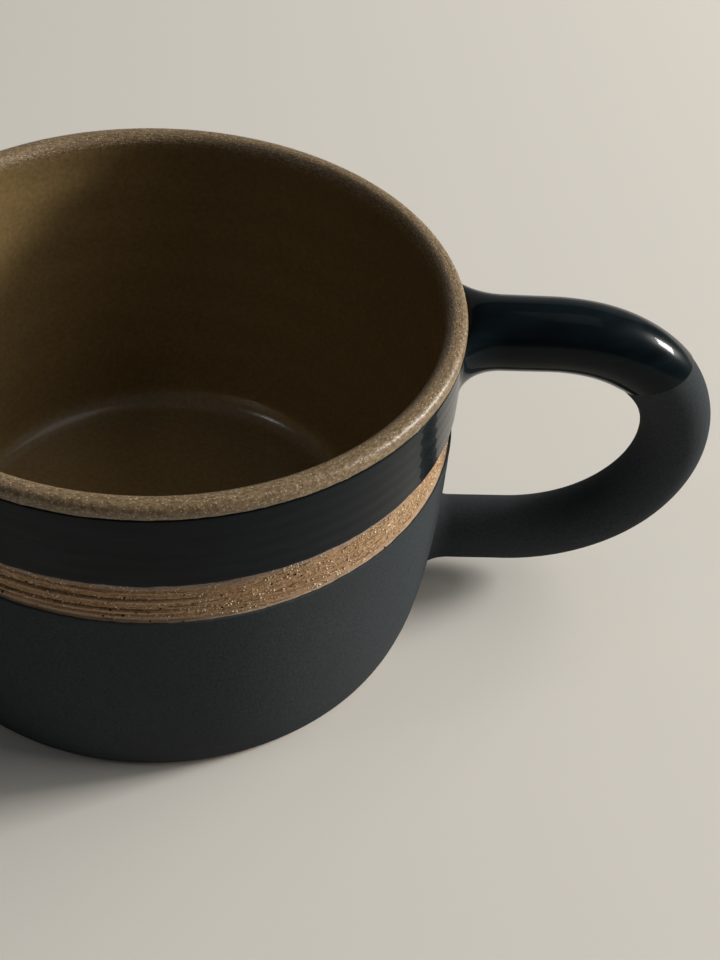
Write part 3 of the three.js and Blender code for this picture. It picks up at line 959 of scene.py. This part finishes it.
def bend_stations(corners, radius, shares):
    """The same rows along a quarter bend, where the wall no longer matters."""
    radii = radius + (middle_radius - radius) * (run_share + (1 - run_share) * shares)
    return np.column_stack([cubic(corners, shares), radii, np.zeros((len(shares), 3))])


def station_mesh(name, rows, inset, from_dip, edge_thinning=0.0):
    """A chain of stations, with each one's distance from the dip line."""
    x, z, radius, nearness, sunk, wall = rows.T
    edge = np.clip(1 - from_dip / EDGE_ROLL, 0, 1)
    values = {
        "thickness": (radius - inset - edge_thinning * (1 - np.sqrt(1 - edge ** 2))) * MM,
        "flare": 1 - np.sqrt(1 - nearness ** 2),
        "hug": nearness,
        "sag": sunk * MM,
        "dip": np.clip(1 - from_dip / DIP_FADE, 0, 1) ** 2,
        "wall": wall * MM,
    }
    chain = bpy.data.meshes.new(name)
    places = [(across * MM, 0, height * MM) for across, height in zip(x, z)]
    chain.from_pydata(places, [(i, i + 1) for i in range(len(places) - 1)], [])
    for label, numbers in values.items():
        stored = chain.attributes.new(label, "FLOAT", "POINT")
        stored.data.foreach_set("value", numbers.astype(np.float32))
    return chain


run_share = RUN_LENGTH / (RUN_LENGTH + walked(fine_bend)[-1])
closing_in = 1 - (1 - np.linspace(0, 1, 90)) ** 2
upper_run = run_stations(upper_height, UPPER_RADIUS, UPPER_FLARE_LENGTH, UPPER_SAG)
lower_run = run_stations(lower_height, LOWER_RADIUS, LOWER_FLARE_LENGTH, 0.0)[::-1]

gloss_bend = bend_stations(upper_bend, UPPER_RADIUS, dip_share * closing_in)
gloss_rows = np.concatenate([upper_run, gloss_bend])
gloss_walk = walked(gloss_rows[:, :2])
gloss_stations = station_mesh(
    "gloss_stations", gloss_rows, LUMP_HEIGHT, gloss_walk[-1] - gloss_walk, EDGE_THINNING
)
matte_rows = np.concatenate([
    bend_stations(upper_bend, UPPER_RADIUS, np.linspace(dip_share - UNDERLAP, 1, 48)),
    bend_stations(lower_bend, LOWER_RADIUS, np.linspace(1, 0, 64)[1:]),
    lower_run,
])
matte_stations = station_mesh(
    "matte_stations", matte_rows, LUMP_HEIGHT + COAT_PROUD, walked(matte_rows[:, :2])
)
roll_rows = np.concatenate([
    upper_run,
    bend_stations(upper_bend, UPPER_RADIUS, np.linspace(0, 1, 48)),
    bend_stations(lower_bend, LOWER_RADIUS, np.linspace(1, 0, 48)[1:]),
    lower_run,
])
roll_stations = station_mesh("roll_stations", roll_rows, 2 * COAT, np.full(len(roll_rows), np.inf))
print(len(gloss_stations.vertices), "gloss stations and", len(matte_stations.vertices), "matte stations")

# %% [markdown]
# ## A tree that sweeps the roll
# A sweep along a path is a curve with a round profile. This tree sweeps a ring of radius 1, remembers for
# each vertex the station's middle and direction, and reads the direction from the middle to the vertex
# as its arm. Then it sets the arm's length: the station's radius and, near the wall, a flare. The flare
# settles on the cup by casting a ray at the real wall piece, so the joint closes whatever shape the wall
# has. At the dip line the section tips until it lies in the plane of the glaze in the bucket.

# %% The handle tree
sweep, given = geometry_tree("rolled_handle", {
    "Sides": "Int", "Flare near": "Float", "Flare far": "Float", "Flare up": "Float",
    "Flare down": "Float", "Dip normal": "Vector", "Wall": "Object", "Wall top": "Float",
    "Lump height": "Float", "Lump size": "Float", "Caps": "Bool",
})
path = add(sweep, "GeometryNodeMeshToCurve", {"Mesh": given["Geometry"]})
for label, kind in {"middle": "GeometryNodeInputPosition", "along": "GeometryNodeInputTangent"}.items():
    path = add(
        sweep, "GeometryNodeStoreNamedAttribute",
        {"Geometry": path, "Name": label, "Value": add(sweep, kind)},
        data_type="FLOAT_VECTOR", domain="POINT",
    )
ring = add(
    sweep, "GeometryNodeCurvePrimitiveCircle",
    {"Resolution": given["Sides"], "Radius": 1.0}, mode="RADIUS",
)
tube = add(
    sweep, "GeometryNodeCurveToMesh",
    {"Curve": path, "Profile Curve": ring.outputs["Curve"], "Fill Caps": given["Caps"]},
)
kinds = dict.fromkeys(("middle", "along"), "FLOAT_VECTOR")
kinds.update(dict.fromkeys(("thickness", "flare", "hug", "sag", "dip", "wall"), "FLOAT"))
station = {
    label: add(sweep, "GeometryNodeInputNamedAttribute", {"Name": label}, data_type=kind)
    for label, kind in kinds.items()
}
vertex = add(sweep, "GeometryNodeInputPosition")
arm = add(sweep, "ShaderNodeVectorMath", [vertex, station["middle"]], operation="SUBTRACT")
arm_parts = add(sweep, "ShaderNodeSeparateXYZ", [arm])
round_arm = add(sweep, "ShaderNodeVectorMath", {0: arm, "Scale": station["thickness"]}, operation="SCALE")

# The flare widens the section by its own amount to each of four sides
flare_parts = {}
for axis, (back, ahead) in {"Y": ("Flare near", "Flare far"), "Z": ("Flare down", "Flare up")}.items():
    part = arm_parts.outputs[axis]
    forward = add(sweep, "FunctionNodeCompare", {"A": part, "B": 0.0}, operation="GREATER_THAN")
    size = add(
        sweep, "GeometryNodeSwitch", {"Switch": forward, "False": given[back], "True": given[ahead]},
        input_type="FLOAT",
    )
    growth = add(sweep, "ShaderNodeMath", [size, station["flare"]], operation="MULTIPLY")
    flare_parts[axis] = add(sweep, "ShaderNodeMath", [part, growth], operation="MULTIPLY")
flare_arm = add(sweep, "ShaderNodeCombineXYZ", flare_parts)
full_arm = add(sweep, "ShaderNodeVectorMath", [round_arm, flare_arm], operation="ADD")

# Sliding along the path until the arm lies in the dip plane tips the section
out_of_plane, steepness = (
    add(
        sweep, "ShaderNodeVectorMath", [way, given["Dip normal"]], operation="DOT_PRODUCT"
    ).outputs["Value"]
    for way in (full_arm, station["along"])
)
to_plane = add(sweep, "ShaderNodeMath", [out_of_plane, steepness], operation="DIVIDE")
slide = add(sweep, "ShaderNodeMath", [to_plane, station["dip"]], operation="MULTIPLY")
slid = add(sweep, "ShaderNodeVectorMath", {0: station["along"], "Scale": slide}, operation="SCALE")
tipped_arm = add(sweep, "ShaderNodeVectorMath", [full_arm, slid], operation="SUBTRACT")
sinking = add(sweep, "ShaderNodeCombineXYZ", {"Z": station["sag"]})
sunk_middle = add(sweep, "ShaderNodeVectorMath", [station["middle"], sinking], operation="SUBTRACT")
place = add(sweep, "ShaderNodeVectorMath", [sunk_middle, tipped_arm], operation="ADD")

# A ray from outside finds the wall at this height, or at its top, and the section moves with it
RAY_START = 0.2
place_parts = add(sweep, "ShaderNodeSeparateXYZ", [place])
ray_height = add(
    sweep, "ShaderNodeMath", [place_parts.outputs["Z"], given["Wall top"]], operation="MINIMUM"
)
source = add(
    sweep, "ShaderNodeCombineXYZ", {"X": RAY_START, "Y": place_parts.outputs["Y"], "Z": ray_height}
)
wall = add(sweep, "GeometryNodeObjectInfo", {"Object": given["Wall"]}).outputs["Geometry"]
ray = add(
    sweep, "GeometryNodeRaycast",
    {
        "Target Geometry": wall, "Source Position": source,
        "Ray Direction": (-1, 0, 0), "Ray Length": RAY_START,
    },
)
hit = add(sweep, "ShaderNodeSeparateXYZ", [ray.outputs["Hit Position"]])
sunk = add(sweep, "ShaderNodeMath", [hit.outputs["X"], station["wall"]], operation="SUBTRACT")
pull = add(sweep, "ShaderNodeMath", [sunk, station["hug"]], operation="MULTIPLY")
shift = add(sweep, "ShaderNodeCombineXYZ", {"X": pull})
seated = add(sweep, "ShaderNodeVectorMath", [place, shift], operation="ADD")
shaped = add(sweep, "GeometryNodeSetPosition", {"Geometry": tube, "Position": seated})

# The roll is not quite even, except where it was pressed to the wall
lump_scale = add(sweep, "ShaderNodeMath", [1.0, given["Lump size"]], operation="DIVIDE")
lump_noise = add(sweep, "ShaderNodeTexNoise", {"Scale": lump_scale, "Detail": 1.0})
lump_swing = add(sweep, "ShaderNodeMapRange", {"Value": lump_noise, "To Min": -1.0})
lump_size = add(sweep, "ShaderNodeMath", [lump_swing, given["Lump height"]], operation="MULTIPLY")
free = add(sweep, "ShaderNodeMath", [1.0, station["hug"]], operation="SUBTRACT")
lump = add(sweep, "ShaderNodeMath", [lump_size, free], operation="MULTIPLY")
normal = add(sweep, "GeometryNodeInputNormal")
lump_move = add(sweep, "ShaderNodeVectorMath", {0: normal, "Scale": lump}, operation="SCALE")
uneven = add(sweep, "GeometryNodeSetPosition", {"Geometry": shaped, "Offset": lump_move})
close_tree(sweep, uneven, given["Material"])
print(sweep.name, "has", len(sweep.nodes), "nodes")

# %% [markdown]
# ## The handle's clay and its two coats
# The clay roll and both coats come from the same tree with other stations. The gloss stands a hair proud
# of the slip, so its rolled edge shows at the dip line. A Solidify modifier turns each swept skin into a
# shell, and the roll inside gets closed ends.

# %% Clay, gloss and slip of the handle
SHELL = 0.3
WALL_MARGIN = 1
level_flare = {"Flare near": 2.5 * MM, "Flare far": 2.5 * MM, "Flare up": 0.0, "Flare down": 0.0}
lower_flare = {**level_flare, "Flare up": 2.0 * MM, "Flare down": 1.5 * MM}
upper_flare = {**level_flare, "Flare near": 5.0 * MM, "Flare far": 11.0 * MM}
roll = {
    "Sides": 96, "Lump height": LUMP_HEIGHT * MM, "Lump size": 13 * MM,
    "Dip normal": (-math.sin(DIP_TILT), 0.0, math.cos(DIP_TILT)),
}
handle_gloss = grow("handle_gloss_glaze", gloss_stations, sweep, {
    **roll, **upper_flare, "Wall": collar, "Wall top": (collar_top - WALL_MARGIN) * MM,
    "Material": gloss,
})
handle_matte = grow("handle_matte_slip", matte_stations, sweep, {
    **roll, **lower_flare, "Wall": slip, "Wall top": (band_bottom - WALL_MARGIN) * MM,
    "Material": matte,
})
handle_clay = grow("handle_clay_roll", roll_stations, sweep, {
    **roll, **level_flare, "Wall": cup, "Wall top": (collar_top - WALL_MARGIN) * MM,
    "Caps": True, "Material": stoneware,
})
for skin in (handle_gloss, handle_matte):
    shell = skin.modifiers.new("coat", "SOLIDIFY")
    shell.thickness = SHELL * MM
    shell.offset = -1

# %% [markdown]
# ## Grains on the band
# The pale grains sit in the band's surface, thickest along the lines where the tool dragged. Geometry
# Nodes scatters points on the clay between the two coat edges, thinned by a noise that is stretched
# round the cup, and puts a small faceted stone at each one, sunk by half.

# %% The grain tree
scatter, given = geometry_tree("grog_in_the_band", {
    "Lowest": "Float", "Highest": "Float", "Least radius": "Float", "Spacing": "Float",
    "Density": "Float", "Smallest": "Float", "Largest": "Float", "Seed": "Int",
})
place = add(scatter, "GeometryNodeInputPosition")
spot = add(scatter, "ShaderNodeSeparateXYZ", [place])
flat_place = add(scatter, "ShaderNodeCombineXYZ", {"X": spot.outputs["X"], "Y": spot.outputs["Y"]})
from_axis = add(scatter, "ShaderNodeVectorMath", [flat_place], operation="LENGTH").outputs["Value"]
band_limits = {
    "Lowest": (spot.outputs["Z"], "GREATER_THAN"),
    "Highest": (spot.outputs["Z"], "LESS_THAN"),
    "Least radius": (from_axis, "GREATER_THAN"),
}
above, below, outside = (
    add(scatter, "FunctionNodeCompare", {"A": value, "B": given[label]}, operation=test)
    for label, (value, test) in band_limits.items()
)
between = add(scatter, "FunctionNodeBooleanMath", [above, below], operation="AND")
on_band = add(scatter, "FunctionNodeBooleanMath", [between, outside], operation="AND")
DRAG_LENGTH = 6
DRAG_WIDTH = 0.8
drag_place = add(
    scatter, "ShaderNodeVectorMath", [place, (per(DRAG_LENGTH), per(DRAG_LENGTH), per(DRAG_WIDTH))],
    operation="MULTIPLY",
)
drag = add(scatter, "ShaderNodeTexNoise", {"Vector": drag_place, "Scale": 1.0, "Detail": 2.0})
crowding = add(
    scatter, "ShaderNodeMapRange",
    {"Value": drag, "From Min": 0.44, "From Max": 0.62, "To Min": 0.06},
)
points = add(
    scatter, "GeometryNodeDistributePointsOnFaces",
    {
        "Mesh": given["Geometry"], "Selection": on_band, "Distance Min": given["Spacing"],
        "Density Max": given["Density"], "Density Factor": crowding, "Seed": given["Seed"],
    },
    distribute_method="POISSON",
)
stone = add(scatter, "GeometryNodeMeshIcoSphere", {"Radius": 0.5, "Subdivisions": 1})
size = add(
    scatter, "FunctionNodeRandomValue",
    {"Min": given["Smallest"], "Max": given["Largest"], "Seed": given["Seed"]}, data_type="FLOAT",
)
grains = add(
    scatter, "GeometryNodeInstanceOnPoints",
    {
        "Points": points.outputs["Points"], "Instance": stone.outputs["Mesh"],
        "Rotation": points.outputs["Rotation"], "Scale": size,
    },
)
close_tree(scatter, grains, given["Material"])
print(scatter.name, "has", len(scatter.nodes), "nodes")

# %% Scatter the grains
EDGE_MARGIN = 0.3
SKIN_DEPTH = 1.5
band_grains = grow("band_grog_grains", cup.data, scatter, {
    "Lowest": (band_bottom + EDGE_MARGIN) * MM, "Highest": (band_top - EDGE_MARGIN) * MM,
    "Least radius": (cup_radius - SKIN_DEPTH) * MM, "Spacing": 0.18 * MM, "Density": 5.0e6,
    "Smallest": 0.1 * MM, "Largest": 0.36 * MM, "Seed": 7, "Material": grog,
})

# %% [markdown]
# ## What stays hidden
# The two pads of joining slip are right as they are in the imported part, and no light reaches them. They
# keep their own meshes and get the stoneware material.

# %% Dress the hidden nodes
for node in ("upper_joint_slip", "lower_joint_slip"):
    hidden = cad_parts[node]
    hidden.data.materials.clear()
    hidden.data.materials.append(stoneware)
    print(node, "keeps its mesh")

# %% [markdown]
# ## Tie every piece to the part
# The mug has no moving parts, so each piece rides on the one body and stands for the node that it
# dresses. The box of the dressed mug lies inside the box of the imported part by less than a fifth of a
# millimetre.

# %% Ride and replace
PIECES = [
    (cup, "cup_body", "bare_stoneware"),
    (handle_clay, "handle_loop", "bare_stoneware"),
    (inside, "liner_glaze", "liner_glaze"),
    (collar, "collar_glaze", "gloss_glaze"),
    (slip, "body_slip", "matte_slip"),
    (handle_gloss, "handle_glaze", "gloss_glaze"),
    (handle_matte, "handle_slip", "matte_slip"),
]
for piece, node, finish in PIECES:
    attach(piece, "root")
    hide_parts(node)
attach(band_grains, "root")
print(len(PIECES) + 1, "pieces ride on the root body")
